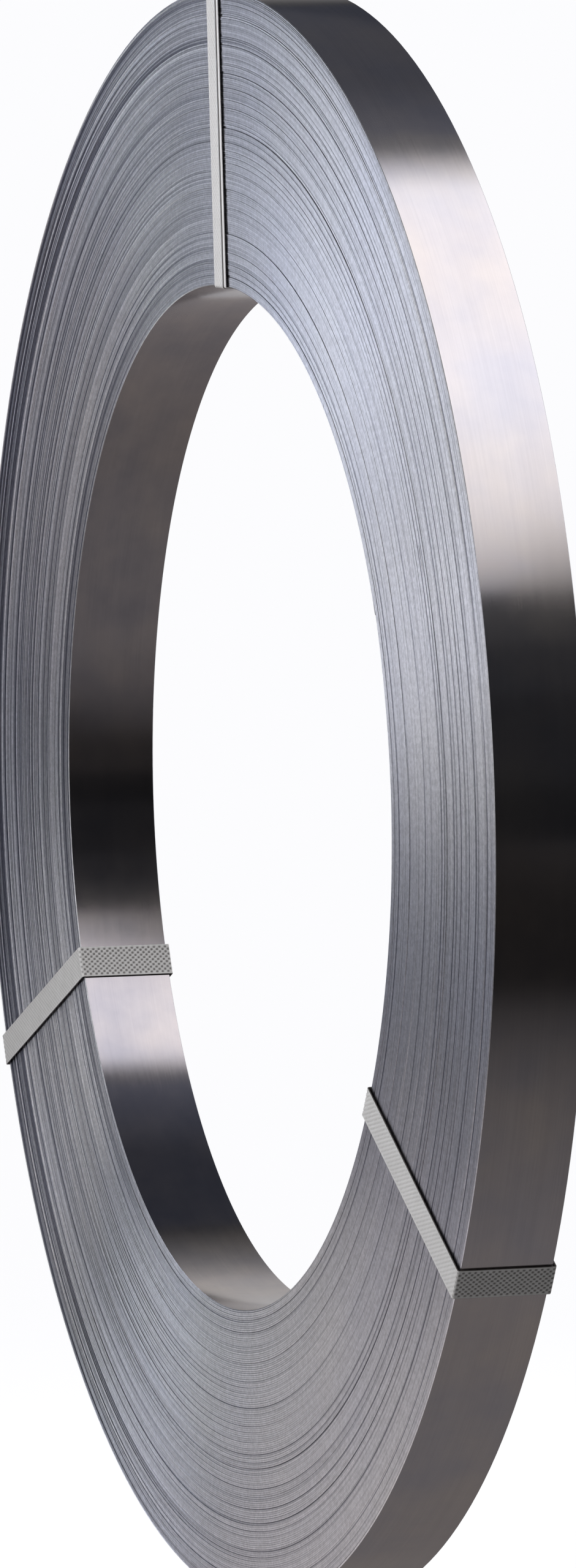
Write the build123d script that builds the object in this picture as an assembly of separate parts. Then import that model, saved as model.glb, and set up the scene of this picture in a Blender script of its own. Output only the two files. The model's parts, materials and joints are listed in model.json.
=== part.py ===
from build123d import *

import os
from math import cos, degrees, radians

# A slit coil of cold-rolled steel strip, tied by three welded polyester straps.
# The strip is wound into a flat ring, which is one turned solid. Its two ends show the edges of the
# turns, its bore shows the strip's leading end, and its rim shows the trailing end. Each strap passes
# through the bore and over the rim, and its own two ends overlap in a weld on the rear of the coil.
# Sizes are in millimetres. The ring is made about the Z axis with its front end up, and then stood on
# its rim, so that its axis lies along Y and its front end faces -Y. Angles are seen from the front,
# counter-clockwise from +X.

# Strip and ring
bore_diameter = 508.0
strip_thickness = 1.0
strip_width = 46.0
turns = 146

# The turns were not wound quite flush. Each entry is a number of turns, counted outward from the bore,
# and how far they stand towards the front of the coil, as a share of the largest shift, so they lie as
# far below it at the rear.
largest_shift = 0.5
turn_bands = [
    (5, 0.0), (1, -1.0), (20, 0.2), (1, -0.8), (21, -0.2), (30, 0.3),
    (1, -1.0), (26, 0.0), (1, -0.8), (27, 0.4), (1, -1.0), (12, 0.0),
]

# Ends of the strip
lead_angle = 20.0
lead_climb = 60.0
tail_angle = 222.0

# Straps: how far the centre line of each one passes from the coil's axis, to the left of the direction
# that it runs in, and that direction
top_strap_offset = -24.0
left_strap_offset = 1.5
right_strap_offset = -3.0
strap_lines = {
    "strap_top": (90.0, top_strap_offset),
    "strap_left": (199.3, left_strap_offset),
    "strap_right": (325.9, right_strap_offset),
}
strap_width = 16.0
strap_thickness = 0.9
strap_gap = 0.3
weld_length = 35.0
weld_ramp = 6.0

bore_radius = bore_diameter / 2
rim_radius = bore_radius + turns * strip_thickness
half_width = strip_width / 2


def rim_radius_at(angle):
    """Radius of the rim at an angle. It grows by one strip thickness in a turn, from the tail end."""
    step = strip_thickness / 4
    past_tail = (angle - tail_angle) % 360
    if past_tail < 180:
        return rim_radius - 3 * step - step * cos(radians(past_tail))
    return rim_radius - step + step * cos(radians(past_tail))


def ring_section():
    """Half section of the ring, with a small step wherever the turns shift, as (radius, height)."""
    front = []
    rear = []
    start = bore_radius
    turns_left = turns
    while turns_left > 0:
        for count, share in turn_bands:
            count = min(count, turns_left)
            if count == 0:
                break
            shift = share * largest_shift
            end = start + count * strip_thickness
            front += [(start, half_width + shift), (end, half_width + shift)]
            rear += [(start, -half_width + shift), (end, -half_width + shift)]
            start = end
            turns_left -= count
    return make_face(Polyline(*front, *reversed(rear), close=True))


def rim_outline():
    """Outline of the last turn: two half circles with shifted centres, and the cut tail end between."""
    step = strip_thickness / 4
    first_half = CenterArc((-step, 0), rim_radius - 3 * step, 0, 180)
    second_half = CenterArc((step, 0), rim_radius - step, 180, 180)
    tail_end = Line(second_half @ 1, first_half @ 0)
    return Rot(0, 0, tail_angle) * make_face(first_half + second_half + tail_end)


def lead_notch():
    """Wedge of air behind the leading end, where the second turn climbs on to the first."""
    climb_angle = degrees(lead_climb / bore_radius)
    foot = Vector(bore_radius, 0).rotate(Axis.Z, -climb_angle)
    crest = Vector(bore_radius + strip_thickness, 0)
    inside = Vector(bore_radius - strip_thickness, 0)
    climb = TangentArc(foot, crest, tangent=Vector(-foot.Y, foot.X))
    return Rot(0, 0, lead_angle) * make_face(climb + Line(crest, inside) + Line(inside, foot))


def wound_ring():
    """The ring of turns, with the strip's two ends cut in its rim and its bore."""
    ring = revolve(Plane.XZ * ring_section(), Axis.Z)
    ring = ring & extrude(rim_outline(), strip_width, both=True)
    return ring - extrude(lead_notch(), strip_width, both=True)


def strap_section(rim):
    """Half section of a strap: a loop round the turns, with its upper end lapped over its lower end."""
    end_height = half_width + largest_shift
    middle = (bore_radius + rim) / 2
    wrapped = Pos(middle, 0) * Rectangle(rim - bore_radius, 2 * end_height)
    loop = offset(wrapped, strap_gap + strap_thickness) - offset(wrapped, strap_gap)

    under = -end_height - strap_gap
    between = under - strap_thickness
    top = between - strap_thickness
    cut_end = middle - weld_length / 2
    lap_end = middle + weld_length / 2
    ramp_end = lap_end + weld_ramp
    joggle_space = Pos((lap_end + ramp_end) / 2, (under + between) / 2) * Rectangle(weld_ramp, strap_thickness)
    upper_end = make_face(
        Polyline(
            (cut_end, between), (lap_end, between), (ramp_end, under),
            (ramp_end, between), (lap_end, top), (cut_end, top), close=True,
        )
    )
    return loop - joggle_space + upper_end


def strap(direction, offset_left):
    """One strap, cut from a jacket round the whole ring by the strap's own width."""
    rim = rim_radius_at(direction)
    jacket = revolve(Plane.XZ * strap_section(rim), Axis.Z)
    reach = 2 * rim_radius
    width_slab = Pos(reach / 2, offset_left, 0) * Box(reach, strap_width, reach)
    return jacket & (Rot(0, 0, direction) * width_slab)


def build():
    os.makedirs("parts", exist_ok=True)
    standing = Pos(0, 0, rim_radius_at(270)) * Rot(90, 0, 0)
    export_step(standing * wound_ring(), "parts/strip_coil.step")
    for name, (direction, offset_left) in strap_lines.items():
        export_step(standing * strap(direction, offset_left), f"parts/{name}.step")


build()
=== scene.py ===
import json
import math

import bpy
import numpy as np
from mathutils import Matrix, Vector


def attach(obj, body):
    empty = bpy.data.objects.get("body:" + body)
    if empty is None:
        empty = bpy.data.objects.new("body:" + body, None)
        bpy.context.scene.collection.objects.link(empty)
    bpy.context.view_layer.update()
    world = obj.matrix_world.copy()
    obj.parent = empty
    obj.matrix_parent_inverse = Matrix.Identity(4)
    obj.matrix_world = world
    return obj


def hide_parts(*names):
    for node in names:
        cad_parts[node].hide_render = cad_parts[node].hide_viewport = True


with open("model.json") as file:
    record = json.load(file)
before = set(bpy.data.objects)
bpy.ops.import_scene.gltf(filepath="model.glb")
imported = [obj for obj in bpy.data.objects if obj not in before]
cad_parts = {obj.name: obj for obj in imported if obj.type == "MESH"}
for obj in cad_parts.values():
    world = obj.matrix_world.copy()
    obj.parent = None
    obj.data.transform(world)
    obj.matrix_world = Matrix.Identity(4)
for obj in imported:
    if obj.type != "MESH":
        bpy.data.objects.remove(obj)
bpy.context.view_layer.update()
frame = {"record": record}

# A slit coil of steel strip, tied by three straps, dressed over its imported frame. Every turn of the strip has
# a crest and a seam of its own on both ends of the coil, along one spiral, and the straps are embossed.
# Lengths are in metres. The coil's axis lies along Y and its front faces -Y. Angles are in degrees, seen from
# the front, counter-clockwise from +X.

# Strip and ring
bore = next(mount for mount in frame["record"]["mounts"] if mount["name"] == "bore")
bore_radius = bore["dims"]["r_mm"] / 1000
strip_width = bore["dims"]["length_mm"] / 1000
axis_height = bore["pos_m"][2]
turns = 146
strip_thickness = 0.001
rim_radius = bore_radius + turns * strip_thickness
largest_shift = 0.0005

# Ends of the strip: where it starts in the bore and ends on the rim, how long the second turn's climb on to
# the first one is, and over how many turns that climb evens out into a spiral
lead_angle = 20.0
tail_angle = 222.0
lead_climb = 0.06
turns_that_even_out = 60

# How the strip is meshed. It ends a whole number of segments past its leading end. Its edges, its outer face
# and its inner face have a material each.
segments = 216
turns_in_inner_piece = 73
tail_share = ((tail_angle - lead_angle) % 360) / 360
last_step = (turns - 1) * segments + round(tail_share * segments)
turns_to_tail = last_step / segments
edge_slot, rim_slot, bore_slot = 0, 1, 2

# The turns were not wound quite flush. Each band is a number of turns, counted outward from the bore, and how
# far they stand towards the front of the coil, as a share of the band shift, so they lie as far below it at
# the rear.
band_shift = 0.6 * largest_shift
turn_bands = [
    (5, 0.0), (1, -1.0), (20, 0.2), (1, -0.8), (21, -0.2), (30, 0.3),
    (1, -1.0), (26, 0.0), (1, -0.8), (27, 0.4), (1, -1.0), (14, 0.0),
]

# How single turns stray from that: as a whole, by the tilt of their edge, and in a wave round the coil
stray_shift = 0.00004
edge_tilt = -0.00003
tilt_spread = 0.00001
wave_height = 0.00004

# Range of the share of a turn that each of its rounded corners takes, and range of the depth of its seam
corner_round = (0.1, 0.2)
seam_depth = (0.00001, 0.00003)
winding_seed = 11

# Tones are steps on a scale from grimy metal and painted shade to bare metal and painted highlight. A seam is
# painted darker than its turn, as painted shade in the groove, by its whole shade where it is this deep and by
# at least this share of it elsewhere.
darkest_tone = -4
lightest_edge_tone = 3
tone_spread = 0.35
seam_shade = -4.0
full_shade_depth = 0.0005
least_shade = 0.45

# The corners at the bore and the rim are rounded further, and their seams get a painted highlight in place of a
# seam's painted shade. The seams that lie on them are the first one and the last three.
rim_bore_corner_seams = (0, -3, -2, -1)
rim_bore_corner_round = 0.4
rim_bore_corner_depth = 0.0003
painted_corner_highlight = 1.6

# Around one side of the coil the turns lie loosely, and around another some seams stand open. Each effect
# falls off with the angle from that side, by this power.
loose_side = 166.0
open_side = 350.0
side_falloff = 3

# The loose side. Each pair is an inner turn's value and an outer turn's, and between these two turns, counted
# outward from the bore, the one passes over into the other.
outer_turns_start = 104
outer_turns_full = 120
loose_shift = (0.00014, 0.00028)
# Turns on the loose side are painted darker, more so outward, as painted shade of their uneven steps.
loose_tone = (-0.7, -1.2)
loose_group_spread = (1.3, 4.0)
gaping_share = (0.12, 0.37)

# The same for all of its turns: range of their seams' depth, the depth of a gaping seam, the spread of their
# tones, and the lightest tone that neighbours share
loose_seam_depth = (0.0002, 0.0004)
gaping_seam_depth = 0.0006
loose_tone_spread = 2.5
lightest_group = 0.8

# The open side: the turns whose seam stands open there, counted outward from the bore, that seam's depth, the
# share of a turn that its rounded corners take, and the turn's tone, a painted shade of the open seam that
# darkens the whole turn, or a small lift for the outermost one
open_seams = [
    ((11, 48, 71, 78, 88, 98, 105, 119, 134), 0.001, 0.25, -4.5),
    ((5, 26, 57, 75, 92, 109, 122, 139), 0.0005, 0.2, -2.4),
    ((144,), 0.001, 0.3, 0.5),
]
open_seam_depth_elsewhere = 0.00006

# Straps: the direction of each one, how far its centre line passes to the left of the axis, and the width of
# the fold along its right edge
strap_lines = {
    "strap_top": (90.0, -0.024, 0.0026),
    "strap_left": (199.3, 0.0015, 0.0),
    "strap_right": (325.9, -0.003, 0.0),
}
strap_width = 0.016
strap_thickness = 0.0009
strap_gap = 0.0003
weld_length = 0.035
weld_ramp = 0.006

# How a strap is meshed: length of a step along it, steps round each corner of the coil, columns across its
# face and how far they stay from its edges, and the least angle of a sharp edge
strap_step = 0.0004
strap_bend_steps = 7
face_columns = 49
face_inset = 0.0001
strap_sharp_angle = 50

# A strap's edges: the bevel of the under side, the slope of the face towards a fold, the foot of the step down
# to the fold, whose step is painted dark as painted shade, and the fold's own corner
edge_bevel = 0.0006
slope_to_fold = 0.0009
foot_of_step = 0.0002
fold_corner = 0.0001

# Embossing on the straps: depth, pitches, where a dimple starts on the wave that lays it out and how soon it is
# whole, plain margin, the fade to the margin, and the dust and painted shade that darken it everywhere, and
# further where it passes through the bore and over the rim
emboss_depth = 0.0002
emboss_pitch_along = 0.003
emboss_pitch_across = 0.0027
emboss_start = 0.15
emboss_ramp = 0.7
emboss_margin = 0.0004
emboss_fade = 0.0006
emboss_dust_and_shade = 0.25
emboss_dust_and_shade_on_runs = 0.6

# Colours. Steel and strap have a darker and a lighter one, and clouds of both.
# The edges' darker colour is grime and, in the seams, painted shade; the lighter one is bare metal and, on the
# corners, painted highlight.
grime_and_shade_edges = (0.14, 0.145, 0.18)
bare_and_highlit_edges = (0.90, 0.90, 0.92)
rim_steel = ((0.57, 0.56, 0.58), (0.66, 0.64, 0.63))
# The bore's steel is a darker copy of the rim's, as painted shade inside the bore.
shaded_bore_steel = ((0.42, 0.405, 0.42), (0.56, 0.53, 0.52))
strap_white = ((0.71, 0.695, 0.69), (0.80, 0.79, 0.79))
clean = (1.0, 1.0, 1.0)
# Grey of the dust and painted shade in the straps' embossing, and of the painted shade along their edges
dust_and_shade_grey = (0.14, 0.13, 0.125)

# Camera, fitted to the edges of the bore and the rim in the photograph
photo_height = 2560
focal_pixels = 17141
view_azimuth = 71.44
view_elevation = 0.528
view_roll = 1.674
view_distance = 5.2046
view_target = Vector((0.0103, 0.0079, 0.4051))

# Studio: the background's white, the world's light, and the lamps in front, which are mirrored behind
white = (0.974, 0.974, 0.991)
world_light = 0.27
floor_albedo = 0.2
floor_reach = 40
lamp_place = (0.32, -1.2, 0.9)
lamp_aim = (0.1, 0.0, 0.45)
lamp_size = 0.7
front_lamp_energy = 10.8
rear_lamp_energy = 9.5

# The cards that the steel reflects make a room round the coil, and these are its sides. Its right side is
# room_right before the coil and camera_side behind it. The front and the rear cards of its floor meet under
# the coil's front end.
room_left = -1.6
room_right = 2.2
camera_side = 3.5
room_front = -1.6
room_rear = 3.0
room_top = 2.2
under_front = -0.024
card_height = 0.002
black = (0.0, 0.0, 0.0)


def set_camera():
    data = bpy.data.cameras.new("camera")
    camera = bpy.data.objects.new("camera", data)
    bpy.context.scene.collection.objects.link(camera)
    bpy.context.scene.camera = camera
    data.lens = data.sensor_width * focal_pixels / photo_height
    data.clip_end = 100
    azimuth = math.radians(view_azimuth)
    elevation = math.radians(view_elevation)
    back = Vector((
        math.sin(azimuth) * math.cos(elevation),
        -math.cos(azimuth) * math.cos(elevation),
        math.sin(elevation),
    ))
    facing = (-back).to_track_quat("-Z", "Y").to_matrix().to_4x4()
    roll = Matrix.Rotation(math.radians(-view_roll), 4, "Z")
    camera.matrix_world = Matrix.Translation(view_target + view_distance * back) @ facing @ roll


def smoothstep(x):
    x = np.clip(x, 0, 1)
    return x * x * (3 - 2 * x)


def new_piece(name, vertices, faces, materials, face_slots=None):
    mesh = bpy.data.meshes.new(name)
    mesh.from_pydata(vertices.tolist(), [], faces)
    for material in materials:
        mesh.materials.append(material)
    if face_slots is not None:
        mesh.polygons.foreach_set("material_index", face_slots)
    mesh.polygons.foreach_set("use_smooth", np.ones(len(mesh.polygons), dtype=bool))
    piece = bpy.data.objects.new(name, mesh)
    bpy.context.scene.collection.objects.link(piece)
    return piece


def add_point_values(piece, name, values):
    """Keep one number for each point of a piece, for its material to read."""
    attribute = piece.data.attributes.new(name, "FLOAT", "POINT")
    attribute.data.foreach_set("value", values.astype(np.float32))


# The wound strip

def seam_radius(past_lead):
    """Radius of the strip's inner face, so many turns past its leading end."""
    pitch = (rim_radius - bore_radius) / (turns_to_tail + 1)
    part = past_lead - np.floor(past_lead)
    climb_share = lead_climb / (2 * math.pi * bore_radius)
    sudden = np.clip((part - 1 + climb_share) / climb_share, 0, 1) ** 2
    evened = smoothstep((past_lead - 1) / turns_that_even_out)
    return bore_radius + pitch * (np.floor(past_lead) + (1 - evened) * sudden + evened * part)


def neighbour_noise(rng, count):
    """Noise of unit size in which neighbouring turns differ, so that no broad bands form."""
    contrast = 0.7
    spread = 1.22
    raw = rng.standard_normal(count + 1)
    return (raw[1:] - contrast * raw[:-1]) / spread


def group_noise(rng, count):
    """Noise of unit size that three turns together share."""
    group = 3
    return np.repeat(rng.standard_normal(count // group + 1), group)[:count]


def darker_noise(rng, count):
    """Noise of about unit size, cut off above, so that the turns that stand out are the darker ones."""
    cut_off = 0.4
    gain = 1.25
    return gain * np.minimum(neighbour_noise(rng, count), cut_off)


def lay_turns(rng):
    """How each turn lies. Every value is an array with one entry for each turn and two past the last."""
    count = turns + 2
    outer = smoothstep((np.arange(count) - outer_turns_start) / (outer_turns_full - outer_turns_start))

    def outward(inner_value, outer_value):
        return inner_value + (outer_value - inner_value) * outer

    band_counts, band_shares = zip(*turn_bands)
    lie = {}
    lie["shift"] = band_shift * np.repeat(band_shares, band_counts)
    lie["shift"] += stray_shift * neighbour_noise(rng, count)
    lie["tilt"] = edge_tilt + tilt_spread * rng.standard_normal(count)
    lie["wave"] = wave_height * np.abs(rng.standard_normal(count))
    lie["wave_start"] = rng.uniform(0, 2 * math.pi, count)
    lie["inner_round"] = rng.uniform(*corner_round, count)
    lie["outer_round"] = rng.uniform(*corner_round, count)
    lie["seam_depth"] = rng.uniform(*seam_depth, count)
    lie["seam_shade"] = np.full(count, seam_shade)
    lie["tone"] = tone_spread * darker_noise(rng, count)

    lie["loose_shift"] = outward(*loose_shift) * neighbour_noise(rng, count)
    lie["loose_seam_depth"] = rng.uniform(*loose_seam_depth, count)
    gaping = rng.uniform(size=count) < outward(*gaping_share)
    lie["loose_seam_depth"][gaping] = gaping_seam_depth
    # Each loose turn's own random tone, plus a painted shade that darkens the loose side.
    lie["loose_tone"] = loose_tone_spread * darker_noise(rng, count) + outward(*loose_tone)
    lie["loose_tone"] += outward(*loose_group_spread) * np.minimum(group_noise(rng, count), lightest_group)

    lie["open_seam_depth"] = np.zeros(count)
    lie["open_tone"] = np.zeros(count)
    # An open seam's painted shade darkens the whole turn beside it.
    for seams, depth, width, tone in open_seams:
        for turn in seams:
            lie["seam_depth"][turn] = open_seam_depth_elsewhere
            lie["open_seam_depth"][turn] = depth
            lie["open_tone"][turn] = tone
            lie["inner_round"][turn] = width
            lie["outer_round"][turn - 1] = width

    # The corner seams carry a painted highlight, not a painted shade.
    for turn in rim_bore_corner_seams:
        lie["seam_depth"][turn] = rim_bore_corner_depth
        lie["loose_seam_depth"][turn] = 0.0
        lie["seam_shade"][turn] = painted_corner_highlight
    lie["inner_round"][:2] = rim_bore_corner_round
    lie["outer_round"][-4:] = rim_bore_corner_round
    return lie


def nearness(angle, side):
    """1 at a side of the coil, falling off to 0 at the opposite side."""
    return ((1 + np.cos(angle - math.radians(side))) / 2) ** side_falloff


def turn_grid(first, last, side, lie):
    """Points and tone of the seam, the crest's start and the crest's end, along a length of strip.

    The side is 1 at the front of the coil and -1 at the rear.
    """
    past_lead = np.arange(first, last + segments + 1) / segments
    turn = np.minimum(np.floor(past_lead).astype(int), turns)
    angle = math.radians(lead_angle) + 2 * math.pi * past_lead
    loose = nearness(angle, loose_side)
    open_share = nearness(angle, open_side)
    # What a turn has passes over into what the next one has, in the last twelfth of the turn
    twelfths = 12 * (past_lead - np.floor(past_lead))
    pass_over = smoothstep(twelfths - 11)

    def along(values, step=0):
        here = values[np.maximum(turn + step, 0)]
        return here * (1 - pass_over) + values[turn + step + 1] * pass_over

    def height(step):
        wave = along(lie["wave"] * np.cos(lie["wave_start"]), step) * np.cos(angle)
        wave += along(lie["wave"] * np.sin(lie["wave_start"]), step) * np.sin(angle)
        return along(lie["shift"], step) + wave + along(lie["loose_shift"], step) * loose

    seam = seam_radius(past_lead)
    pitch = seam_radius(past_lead + 1) - seam
    crest_start = seam + along(lie["inner_round"]) * pitch
    crest_end = seam + (1 - along(lie["outer_round"])) * pitch

    face = side * strip_width / 2
    crest = height(0)
    lower = side * np.minimum(side * crest, side * height(-1))
    tilt = along(lie["tilt"])
    depth = along(lie["seam_depth"]) + along(lie["open_seam_depth"]) * open_share
    depth += along(lie["loose_seam_depth"]) * loose ** 2

    # The loose side's and the open seams' painted shade is added to each turn's own tone.
    tone = along(lie["tone"]) + along(lie["loose_tone"]) * loose + along(lie["open_tone"]) * open_share
    # Seams are painted darker the deeper they are, as painted shade in the groove; the corner seams get a
    # painted highlight instead.
    seam_tone = tone + along(lie["seam_shade"]) * np.clip(depth / full_shade_depth, least_shade, 1)

    lines = []
    for radius, reach, line_tone in (
        (seam, face - side * depth + lower, seam_tone),
        (crest_start, face + crest - tilt, tone),
        (crest_end, face + crest + tilt, tone),
    ):
        x = radius * np.cos(angle)
        z = axis_height + radius * np.sin(angle)
        lines.append(np.stack([x, -reach, z, line_tone], axis=1))
    return np.stack(lines, axis=1)


def turn_faces(count, start, flip):
    """Quads between the lines of a turn grid, which covers count steps from vertex start."""
    seam = start + 3 * np.arange(count)
    next_seam = seam + 3 * segments
    quads = []
    for inner, outer in ((seam, seam + 1), (seam + 1, seam + 2), (seam + 2, next_seam)):
        quads.append(np.stack([inner, outer, outer + 3, inner + 3], axis=1))
    quads = np.concatenate(quads)
    return quads[:, ::-1] if flip else quads


def wall_faces(front, rear, flip):
    """Quads of a wall between a line of vertices on the front and one on the rear."""
    quads = np.stack([front[:-1], front[1:], rear[1:], rear[:-1]], axis=1)
    return quads[:, ::-1] if flip else quads


def wound_piece(name, first, last, lie, materials):
    """A closed length of wound strip, from one step to another of the spiral."""
    front = turn_grid(first, last, 1, lie)
    rear = turn_grid(first, last, -1, lie)
    count = last - first
    points = np.concatenate([front.reshape(-1, 4), rear.reshape(-1, 4)])
    rear_start = 3 * len(front)
    edge_quads = np.concatenate([turn_faces(count, 0, True), turn_faces(count, rear_start, False)])
    inner = 3 * np.arange(0, segments + 1)
    outer = 3 * np.arange(count, count + segments + 1)
    inner_wall = wall_faces(inner, inner + rear_start, False)
    outer_wall = wall_faces(outer, outer + rear_start, True)
    quads = np.concatenate([edge_quads, inner_wall, outer_wall])
    strip_ends = []
    for step, flip in ((0, True), (count, False)):
        line = [3 * step, 3 * step + 1, 3 * step + 2, 3 * (step + segments)]
        face = line + [rear_start + vertex for vertex in reversed(line)]
        strip_ends.append(face[::-1] if flip else face)

    # The crest points past the last turn belong to no face
    used = np.zeros(len(points), dtype=bool)
    used[quads.ravel()] = True
    renumber = np.cumsum(used) - 1
    faces = renumber[quads].tolist() + [renumber[face].tolist() for face in strip_ends]
    slots = np.full(len(faces), rim_slot)
    slots[:len(edge_quads)] = edge_slot
    slots[len(edge_quads):len(edge_quads) + len(inner_wall)] = bore_slot
    piece = new_piece(name, points[used, :3], faces, materials, slots)
    add_point_values(piece, "edge_tone", points[used, 3])
    line_kind = np.tile([0, 1, 2], 2 * len(front))[used]
    mark_sharp(piece.data, line_kind)
    return piece


def mark_sharp(mesh, line_kind):
    """Edges that run along a turn are sharp, and edges across it are smooth."""
    ends = np.empty(2 * len(mesh.edges), dtype=int)
    mesh.edges.foreach_get("vertices", ends)
    ends = ends.reshape(-1, 2)
    places = np.empty(3 * len(mesh.vertices))
    mesh.vertices.foreach_get("co", places)
    depth = places.reshape(-1, 3)[:, 1]
    same_line = line_kind[ends[:, 0]] == line_kind[ends[:, 1]]
    same_end = np.abs(depth[ends[:, 0]] - depth[ends[:, 1]]) < strip_width / 2
    sharp = mesh.attributes.new("sharp_edge", "BOOLEAN", "EDGE")
    sharp.data.foreach_set("value", same_line & same_end)


def build_coil():
    lie = lay_turns(np.random.RandomState(winding_seed))
    rim = strip_face_steel("strip_face", *rim_steel)
    # A darker copy of the rolled face, as painted shade inside the bore.
    bore_wall = strip_face_steel("strip_face_shaded_bore", *shaded_bore_steel)
    materials = [turn_edge_steel(), rim, bore_wall]
    middle = turns_in_inner_piece * segments
    for name, first, last in (("turns_inner", 0, middle), ("turns_outer", middle, last_step)):
        piece = wound_piece(name, first, last, lie, materials)
        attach(piece, "root")
        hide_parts("strip_coil")


# The straps

def rim_radius_at(angle):
    """Radius of the rim at an angle. It grows by one strip thickness in a turn, from the tail end."""
    step = strip_thickness / 4
    past_tail = (angle - tail_angle) % 360
    if past_tail < 180:
        return rim_radius - 3 * step - step * math.cos(math.radians(past_tail))
    return rim_radius - step + step * math.cos(math.radians(past_tail))


def run(start, end, normal):
    """Straight run of a strap's path, as rows of radius, y, normal radius and normal y."""
    steps = max(2, round(math.dist(start, end) / strap_step))
    share = np.linspace(0, 1, steps, endpoint=False)[:, None]
    places = np.array(start) * (1 - share) + np.array(end) * share
    return np.hstack([places, np.tile(normal, (len(share), 1))])


def bend(centre, start_angle, end_angle):
    """Bend of a strap's path round a corner of the coil, at the strap's gap from it."""
    angle = np.radians(np.linspace(start_angle, end_angle, strap_bend_steps, endpoint=False))
    normals = np.stack([np.cos(angle), np.sin(angle)], axis=1)
    return np.hstack([np.array(centre) + strap_gap * normals, normals])


def strap_path(rim):
    """The strap's inner surface, from its lower end on the rear through the bore to its upper end."""
    end = strip_width / 2 + largest_shift
    face = end + strap_gap
    middle = (bore_radius + rim) / 2
    cut_end = middle - weld_length / 2
    lap_end = middle + weld_length / 2
    ramp_end = lap_end + weld_ramp
    lapped = face + strap_thickness
    return np.concatenate([
        run((lap_end, face), (bore_radius, face), (0, 1)),
        bend((bore_radius, end), 90, 180),
        run((bore_radius - strap_gap, end), (bore_radius - strap_gap, -end), (-1, 0)),
        bend((bore_radius, -end), 180, 270),
        run((bore_radius, -face), (rim, -face), (0, -1)),
        bend((rim, -end), 270, 360),
        run((rim + strap_gap, -end), (rim + strap_gap, end), (1, 0)),
        bend((rim, end), 0, 90),
        run((rim, face), (ramp_end, face), (0, 1)),
        run((ramp_end, face), (lap_end, lapped), (0, 1)),
        run((lap_end, lapped), (cut_end, lapped), (0, 1)),
        [(cut_end, lapped, 0, 1)],
    ])


def embossing(along, across):
    """Share of the embossing's depth: staggered dimples, which stop short of the face's edges."""
    wave = np.cos(2 * math.pi * along / emboss_pitch_along)
    wave = wave * np.cos(2 * math.pi * across / emboss_pitch_across)
    dimples = smoothstep((emboss_start - wave) / emboss_ramp)
    edge = np.minimum(across - across.min(), across.max() - across)
    return dimples * smoothstep((edge - emboss_margin) / emboss_fade)


def cut_edge():
    """Section of a strap's edge, from the face to the under side: inset, share of thickness, and darkening,
    which is painted shade.
    """
    return [(0.0, 0.94, 0.8), (0.0, 0.30, 1.2), (edge_bevel, 0.0, 1.2)]


def folded_edge(fold):
    """The same where the edge is folded over: the fold lies lower than the face, past a step painted dark as
    shade.
    """
    step = [(fold + slope_to_fold, 0.97, 1.2), (fold, 0.9, 1.2), (fold, 0.52, 1.2)]
    flap = [(fold - foot_of_step, 0.5, 0.0), (fold_corner, 0.5, 0.0), (0.0, 0.45, 0.0), (0.0, 0.08, 0.0)]
    return step + flap + [(edge_bevel, 0.0, 0.6)]


def strap_points(path, across, depth, direction, offset_left):
    """Points over a strap: a row for each row of its path and a column for each lateral place."""
    radius = path[:, None, 0] + depth * path[:, None, 2]
    y = path[:, None, 1] + depth * path[:, None, 3]
    lateral = offset_left + across[None, :]
    ahead = np.sqrt(radius ** 2 - lateral ** 2)
    turn = math.radians(direction)
    x = ahead * math.cos(turn) - lateral * math.sin(turn)
    z = axis_height + ahead * math.sin(turn) + lateral * math.cos(turn)
    return np.stack([x, y + 0 * lateral, z], axis=2).reshape(-1, 3)


def tube_faces(rows, columns):
    """Faces of a closed tube whose points lie in rows round it, with both of its ends."""
    here = columns * np.arange(rows - 1)[:, None] + np.arange(columns)
    beside = columns * np.arange(rows - 1)[:, None] + (np.arange(columns) + 1) % columns
    quads = np.stack([here, here + columns, beside + columns, beside], axis=2).reshape(-1, 4)
    first_end = list(range(columns))
    last_end = [columns * (rows - 1) + column for column in reversed(range(columns))]
    return quads.tolist() + [first_end, last_end]


def build_strap(name, direction, offset_left, fold, materials):
    path = strap_path(rim_radius_at(direction))
    middle_line = path[:, :2] + strap_thickness / 2 * path[:, 2:]
    steps = np.hypot(*np.diff(middle_line, axis=0).T)
    along = np.concatenate([[0], np.cumsum(steps)])[:, None]

    # The section runs over the face, down the left edge, and up the right edge
    half = strap_width / 2
    left_inset, left_share, left_dust_and_shade = np.array(cut_edge()).T
    right_edge = folded_edge(fold) if fold else cut_edge()
    right_inset, right_share, right_dust_and_shade = np.array(right_edge[::-1]).T
    face = np.linspace(-half + right_inset[-1] + face_inset, half - face_inset, face_columns)
    across = np.concatenate([face, half - left_inset, -half + right_inset])
    share = np.concatenate([np.ones(len(face)), left_share, right_share])
    # The edges' values are painted shade, dark along the sides and on the step down to a fold.
    edge_dust_and_shade = np.concatenate([np.zeros(len(face)), left_dust_and_shade, right_dust_and_shade])

    dimple = np.zeros((len(path), len(across)))
    dimple[:, :len(face)] = embossing(along, face[None, :])
    depth = strap_thickness * share - emboss_depth * dimple
    # Dimples are painted darker, as dust and painted shade, and more so on the runs through the bore and over
    # the rim.
    on_run = path[:, 2:3] ** 2
    dust_and_shade = edge_dust_and_shade + (emboss_dust_and_shade + emboss_dust_and_shade_on_runs * on_run) * dimple

    points = strap_points(path, across, depth, direction, offset_left)
    piece = new_piece(name + "_embossed", points, tube_faces(*depth.shape), materials)
    add_point_values(piece, "dust_and_shade", dust_and_shade.ravel())
    piece.data.set_sharp_from_angle(angle=math.radians(strap_sharp_angle))
    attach(piece, "root")
    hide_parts(name)


def build_straps():
    materials = [strap_plastic()]
    for name, (direction, offset_left, fold) in strap_lines.items():
        build_strap(name, direction, offset_left, fold, materials)


# Materials

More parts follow.
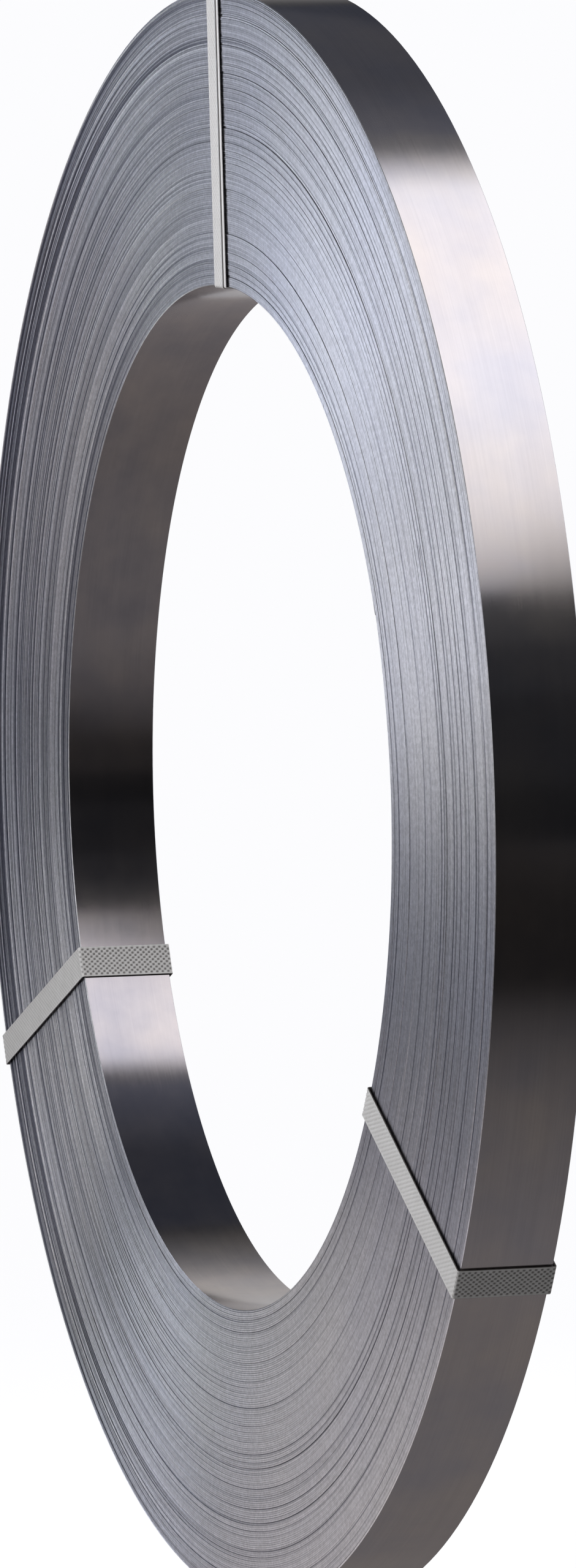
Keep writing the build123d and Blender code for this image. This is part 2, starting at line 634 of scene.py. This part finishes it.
class Nodes:
    """Short ways to add and join the nodes of a material or a world."""

    def __init__(self, owner):
        self.owner = owner
        owner.use_nodes = True
        self.tree = owner.node_tree

    def add(self, kind, inputs=None, **settings):
        node = self.tree.nodes.new("ShaderNode" + kind)
        for key, value in settings.items():
            setattr(node, key, value)
        for key, value in (inputs or {}).items():
            self.put(value, node.inputs[key])
        return node

    def put(self, value, socket):
        if isinstance(value, bpy.types.NodeSocket):
            self.tree.links.new(value, socket)
        else:
            socket.default_value = value

    def shade(self, inputs):
        """Set inputs of the material's own shader."""
        shader = self.tree.nodes["Principled BSDF"]
        for key, value in inputs.items():
            self.put(value, shader.inputs[key])

    def end_in(self, shader):
        """Make a shader's output the material's surface."""
        output = self.add("OutputMaterial")
        self.put(shader.outputs[0], output.inputs["Surface"])

    def place(self):
        return self.add("TexCoord").outputs["Object"]

    def attribute(self, name):
        return self.add("Attribute", attribute_name=name).outputs["Fac"]

    def math(self, operation, first, second=0.0):
        return self.add("Math", {0: first, 1: second}, operation=operation).outputs[0]

    def noise(self, vector, scale, detail=2.0, roughness=0.5):
        inputs = {"Vector": vector, "Scale": scale, "Detail": detail, "Roughness": roughness}
        return self.add("TexNoise", inputs).outputs["Fac"]

    def scaled(self, value, old_range, new_range=(0.0, 1.0)):
        """Scale a value from one range to another, within which it stays."""
        inputs = {0: value, 1: old_range[0], 2: old_range[1], 3: new_range[0], 4: new_range[1]}
        return self.add("MapRange", inputs).outputs[0]

    def tint(self, value, low_colour, high_colour):
        inputs = {"Factor": value, "A": (*low_colour, 1), "B": (*high_colour, 1)}
        return self.add("Mix", inputs, data_type="RGBA").outputs["Result"]

    def multiply(self, colour, other):
        node = self.add("Mix", {"Factor": 1.0}, data_type="RGBA", blend_type="MULTIPLY")
        self.put(colour, node.inputs["A"])
        self.put(other, node.inputs["B"])
        return node.outputs["Result"]

    def vary(self, colour, value, spread):
        """Make a colour lighter or darker by up to a spread, as a value goes from 0 to 1."""
        darker = [1 - spread] * 3
        lighter = [1 + spread] * 3
        return self.multiply(colour, self.tint(value, darker, lighter))

    def round_the_axis(self, along, across_radius, across_width):
        """Coordinates that run along the strip: the direction from the axis, the radius and the width."""
        parts = self.add("SeparateXYZ", {0: self.place()}).outputs
        up = self.math("SUBTRACT", parts["Z"], axis_height)
        x_square = self.math("MULTIPLY", parts["X"], parts["X"])
        up_square = self.math("MULTIPLY", up, up)
        radius = self.math("SQRT", self.math("ADD", x_square, up_square))
        x = self.math("MULTIPLY", self.math("DIVIDE", parts["X"], radius), along)
        z = self.math("MULTIPLY", self.math("DIVIDE", up, radius), along)
        far = self.math("MULTIPLY", radius, across_radius)
        wide = self.math("MULTIPLY", parts["Y"], across_width)
        return self.add("CombineXYZ", {0: x, 1: self.math("ADD", far, wide), 2: z}).outputs[0]

    def brushed(self, anisotropy):
        """Make metal that is rougher across the strip's length than along it."""
        tangent = self.add("Tangent", direction_type="RADIAL", axis="Y").outputs["Tangent"]
        self.shade({
            "Metallic": 1,
            "Anisotropic": anisotropy,
            "Anisotropic Rotation": 0.25,
            "Tangent": tangent,
        })

    def bumpy(self, height, strength, distance):
        bump = self.add("Bump", {"Height": height, "Strength": strength, "Distance": distance})
        self.shade({"Normal": bump.outputs["Normal"]})


def turn_edge_steel():
    """Slit edges of the strip: sheared steel with fine lines along the cut, and a tone for each turn, which
    also carries painted shade in the seams and a painted highlight on the corners.
    """
    nodes = Nodes(bpy.data.materials.new("turn_edges"))
    place = nodes.place()
    lines_place = nodes.round_the_axis(along=6, across_radius=2600, across_width=0)
    lines = nodes.noise(lines_place, scale=1.0, detail=3.0)
    grain = nodes.noise(place, scale=1400)
    specks = nodes.scaled(nodes.noise(place, scale=420, roughness=0.7), (0.35, 0.65))
    clouds = nodes.noise(place, scale=7, detail=3.0)
    # The edge tone holds each turn's own tone with painted shade in the seams and painted highlight on the
    # corners.
    level = nodes.scaled(nodes.attribute("edge_tone"), (darkest_tone, lightest_edge_tone))
    colour = nodes.tint(level, grime_and_shade_edges, bare_and_highlit_edges)
    colour = nodes.vary(colour, lines, 0.16)
    colour = nodes.vary(colour, grain, 0.1)
    colour = nodes.vary(colour, specks, 0.11)
    colour = nodes.multiply(colour, nodes.tint(clouds, (0.93, 0.95, 1.04), (1.06, 1.04, 0.97)))
    nodes.shade({"Base Color": colour, "Roughness": nodes.scaled(lines, (0.2, 0.8), (0.40, 0.50))})
    nodes.brushed(0.7)
    nodes.bumpy(grain, strength=0.15, distance=0.0001)
    return nodes.owner


def strip_face_steel(name, dark_colour, light_colour):
    """Rolled faces of the strip: glossy, with faint lines along the rolling direction and oil clouds."""
    nodes = Nodes(bpy.data.materials.new(name))
    place = nodes.place()
    lines_place = nodes.round_the_axis(along=5, across_radius=0, across_width=1400)
    lines = nodes.noise(lines_place, scale=1.0, detail=4.0, roughness=0.6)
    bands_place = nodes.round_the_axis(along=2, across_radius=0, across_width=160)
    bands = nodes.noise(bands_place, scale=1.0)
    clouds = nodes.noise(place, scale=22, detail=4.0, roughness=0.6)
    stains = nodes.scaled(nodes.noise(place, scale=11, detail=3.0, roughness=0.6), (0.35, 0.65))
    colour = nodes.tint(nodes.scaled(clouds, (0.3, 0.7)), dark_colour, light_colour)
    colour = nodes.vary(colour, lines, 0.07)
    colour = nodes.multiply(colour, nodes.tint(bands, (0.94, 0.94, 0.95), (1.06, 1.06, 1.05)))
    colour = nodes.multiply(colour, nodes.tint(stains, (0.975, 0.99, 1.03), (1.03, 1.0, 0.97)))
    cloud_roughness = nodes.scaled(clouds, (0.3, 0.7), (0.11, 0.15))
    line_roughness = nodes.scaled(lines, (0.2, 0.8), (0.0, 0.03))
    nodes.shade({"Base Color": colour, "Roughness": nodes.math("ADD", cloud_roughness, line_roughness)})
    nodes.brushed(0.4)
    return nodes.owner


def strap_plastic():
    """Extruded polyester strap, off-white, with grey dust and painted shade in its embossing, and painted shade
    along its edges.
    """
    nodes = Nodes(bpy.data.materials.new("strap_plastic_look"))
    place = nodes.place()
    clouds = nodes.noise(place, scale=180, detail=4.0, roughness=0.6)
    grain = nodes.noise(place, scale=2500)
    colour = nodes.tint(clouds, *strap_white)
    # Dust and painted shade darken the strap's colour.
    colour = nodes.multiply(colour, nodes.tint(nodes.attribute("dust_and_shade"), clean, dust_and_shade_grey))
    nodes.shade({"Base Color": colour, "Roughness": nodes.scaled(clouds, (0.3, 0.7), (0.32, 0.48))})
    nodes.bumpy(grain, strength=0.1, distance=0.00005)
    return nodes.owner


# The studio

def stage_sheet(name, corners):
    mesh = bpy.data.meshes.new(name)
    mesh.from_pydata(corners, [], [list(range(len(corners)))])
    sheet = bpy.data.objects.new(name, mesh)
    bpy.context.scene.collection.objects.link(sheet)
    return sheet


def background_rays(nodes):
    """1 for the rays that see the background, which are the camera's and those of metal and glass, else 0."""
    path = nodes.add("LightPath").outputs
    reflected = nodes.math("MAXIMUM", path["Is Glossy Ray"], path["Is Transmission Ray"])
    return nodes.math("MAXIMUM", path["Is Camera Ray"], reflected)


def build_world():
    world = bpy.data.worlds.new("studio")
    bpy.context.scene.world = world
    nodes = Nodes(world)
    colour = nodes.tint(background_rays(nodes), (world_light, world_light, world_light), white)
    nodes.put(colour, world.node_tree.nodes["Background"].inputs["Color"])


def build_lamps():
    """Two large soft lamps, before and behind the coil, for what isn't metal."""
    for name, side, energy in (("soft_lamp", 1, front_lamp_energy), ("rear_lamp", -1, rear_lamp_energy)):
        data = bpy.data.lights.new(name, "AREA")
        data.shape = "SQUARE"
        data.size = lamp_size
        data.energy = energy
        lamp = bpy.data.objects.new(name, data)
        bpy.context.scene.collection.objects.link(lamp)
        mirror = Vector((side, side, 1))
        place = Vector(lamp_place) * mirror
        aim = Vector(lamp_aim) * mirror
        facing = (aim - place).to_track_quat("-Z", "Y").to_matrix().to_4x4()
        lamp.matrix_world = Matrix.Translation(place) @ facing
        lamp.visible_glossy = False
        lamp.visible_camera = False


def build_floor():
    corners = [(floor_reach * x, floor_reach * y, 0) for x, y in ((-1, -1), (1, -1), (1, 1), (-1, 1))]
    floor = stage_sheet("floor", corners)
    nodes = Nodes(bpy.data.materials.new("floor"))
    nodes.tree.nodes.clear()
    diffuse = nodes.add("BsdfDiffuse", {"Color": (floor_albedo, floor_albedo, floor_albedo, 1)})
    # For the camera and in the steel the floor glows up to white, and keeps the coil's shadow
    glow = [level - floor_albedo * world_light for level in white]
    emission = nodes.add("Emission", {"Color": (*glow, 1), "Strength": background_rays(nodes)})
    nodes.end_in(nodes.add("AddShader", {0: diffuse.outputs[0], 1: emission.outputs[0]}))
    floor.data.materials.append(nodes.owner)


def card(name, corners, radiance, fade=None):
    """A card that shows only in glossy surfaces. A fade goes from one X and level to another."""
    sheet = stage_sheet(name, corners)
    nodes = Nodes(bpy.data.materials.new(name))
    nodes.tree.nodes.clear()
    emission = nodes.add("Emission", {"Color": (*radiance, 1)})
    if fade:
        (start, start_level), (end, end_level) = fade
        across = nodes.add("SeparateXYZ", {0: nodes.place()}).outputs["X"]
        level = nodes.scaled(across, (start, end), (start_level, end_level))
        nodes.put(level, emission.inputs["Strength"])
    nodes.end_in(emission)
    sheet.data.materials.append(nodes.owner)
    sheet.visible_camera = False
    sheet.visible_diffuse = False
    sheet.visible_transmission = False
    sheet.visible_shadow = False


def side_wall(name, x, y_range, z_range, radiance):
    (y0, y1), (z0, z1) = y_range, z_range
    card(name, [(x, y0, z0), (x, y1, z0), (x, y1, z1), (x, y0, z1)], radiance)


def front_wall(name, y, x_range, z_range, radiance):
    (x0, x1), (z0, z1) = x_range, z_range
    card(name, [(x0, y, z0), (x1, y, z0), (x1, y, z1), (x0, y, z1)], radiance)


def ceiling(name, x_range, y_range, heights, radiance, fade=None):
    """A card over the coil, whose two heights are those at the two ends of its X range."""
    (x0, x1), (y0, y1), (z0, z1) = x_range, y_range, heights
    card(name, [(x0, y0, z0), (x0, y1, z0), (x1, y1, z1), (x1, y0, z1)], radiance, fade)


def floor_card(name, x_range, y_range, radiance, fade=None):
    ceiling(name, x_range, y_range, (card_height, card_height), radiance, fade)


def build_rear_cards():
    """What the rim and the bore reflect: dark walls, a pale softbox overhead and a dim floor."""
    depth = (-3.0, 6.0)
    side_wall("card_camera_side_low", camera_side, depth, (0.0, 0.45), (0.012, 0.012, 0.013))
    side_wall("card_camera_side", camera_side, depth, (0.45, 1.2), (0.019, 0.019, 0.021))
    side_wall("card_camera_side_high", camera_side, depth, (1.2, 1.65), (0.029, 0.029, 0.032))
    side_wall("card_camera_side_top", camera_side, depth, (1.65, 2.15), (0.045, 0.045, 0.048))

    # The softbox starts right of the coil's axis, rises towards the camera's side, and is narrower there
    depth = (-0.1, room_rear)
    pale = (1.0, 0.97, 1.01)
    ceiling("card_softbox", (0.28, 1.25), depth, (1.12, 1.43), pale, ((0.7, 1.45), (3.0, 0.45)))
    far_corners = [
        (1.25, -0.1, 1.43), (1.25, 0.62, 1.43), (1.9, 0.775, 1.635),
        (camera_side, 1.27, 2.14), (camera_side, -0.1, 2.14),
    ]
    card("card_softbox_far", far_corners, pale, ((0.7, 1.4), (3.5, 0.64)))
    back_depth = (0.4, room_rear)
    ceiling("card_softbox_back", (1.25, camera_side), back_depth, (1.44, 2.15), (0.011, 0.011, 0.012))
    fade = ((0.165, 0.15), (0.245, 1.4))
    ceiling("card_softbox_edge", (0.13, 0.28), depth, (1.1, 1.12), (1.0, 0.98, 1.03), fade)

    # Left of the softbox the ceiling is dim, and it brightens again towards the left wall
    fade = ((0.13, 0.15), (-0.15, 0.055))
    ceiling("card_overhead", (0.13, -0.6), (0.22, 1.5), (1.1, 1.14), (0.78, 0.84, 1.1), fade)
    fade = ((0.13, 0.13), (0.0, 0.08))
    ceiling("card_overhead_near", (0.13, -0.6), (-0.1, 0.22), (1.1, 1.14), (0.9, 0.92, 1.1), fade)
    fade = ((-0.6, 0.04), (-1.6, 0.55))
    ceiling("card_overhead_left", (-0.6, room_left), (-0.1, 1.5), (1.14, 1.25), (1.0, 0.98, 1.0), fade)
    side_wall("card_left_rear_near", room_left, (0.0, 0.4), (0.01, 1.25), black)
    side_wall("card_left_rear_low", room_left, back_depth, (0.01, 0.5), (0.5, 0.5, 0.52))
    side_wall("card_left_rear", room_left, back_depth, (0.5, 1.25), (0.55, 0.54, 0.54))

    # The floor grows dim towards the camera's side, and less so on a second sheet, further behind the coil
    depth = (under_front, room_rear)
    warm = (1.05, 0.97, 0.98)
    floor_card("card_floor", (-0.1, 3.6), depth, warm, ((1.0, 0.012), (0.42, 0.165)))
    rear_corners = [(0.45, 0.24, 0.004), (0.45, 3.0, 0.004), (3.6, 3.0, 0.004), (3.6, 1.06, 0.004)]
    card("card_floor_rear", rear_corners, warm, ((0.5, 0.15), (1.5, 0.032)))
    floor_card("card_floor_left", (room_left, -0.1), depth, warm, ((-0.1, 0.16), (-1.6, 0.3)))


def build_front_cards():
    """What the front end reflects: pale cards before black walls, and a floor that is pale by the coil."""
    side_wall("card_left_wall", room_left - 0.01, (room_front, 0.0), (0.01, room_top), black)
    side_wall("card_left_low", room_left, (room_front, -1.2), (0.01, 0.3), (0.75, 0.9, 1.3))
    side_wall("card_left_middle", room_left, (room_front, -0.8), (0.5, 0.75), (1.2, 1.28, 1.5))
    side_wall("card_left_high", room_left, (room_front, -0.78), (0.75, 1.1), (5.1, 5.35, 6.0))
    front_wall("card_front_wall", room_front - 0.01, (room_left, room_right), (0.01, room_top), black)
    front_wall("card_front_low", room_front, (-1.1, -0.6), (0.25, 0.5), (2.3, 2.3, 2.5))
    front_wall("card_front_middle", room_front, (-1.1, -0.6), (0.5, 0.8), (8.0, 7.9, 7.8))
    front_wall("card_front_right", room_front, (0.6, 1.4), (0.3, 1.3), (1.5, 1.5, 1.6))
    top = (room_top, room_top)
    ceiling("card_top_left", (room_left, 0.0), (room_front, 0.0), top, black)
    ceiling("card_top_right", (0.0, room_right), (room_front, 0.0), top, (1.4, 1.35, 1.3))

    depth = (-0.6, under_front)
    floor_card("card_front_floor_far", (room_left, room_right), (room_front, -0.6), black)
    floor_card("card_front_floor_left", (room_left, -0.7), depth, (1.3, 1.33, 1.3))
    floor_card("card_front_floor", (-0.7, 1.0), depth, (0.70, 0.65, 0.65))
    floor_card("card_front_floor_right", (1.0, room_right), depth, black)


bpy.context.scene.view_settings.view_transform = "Standard"
set_camera()
build_coil()
build_straps()
build_world()
build_lamps()
build_floor()
build_rear_cards()
build_front_cards()
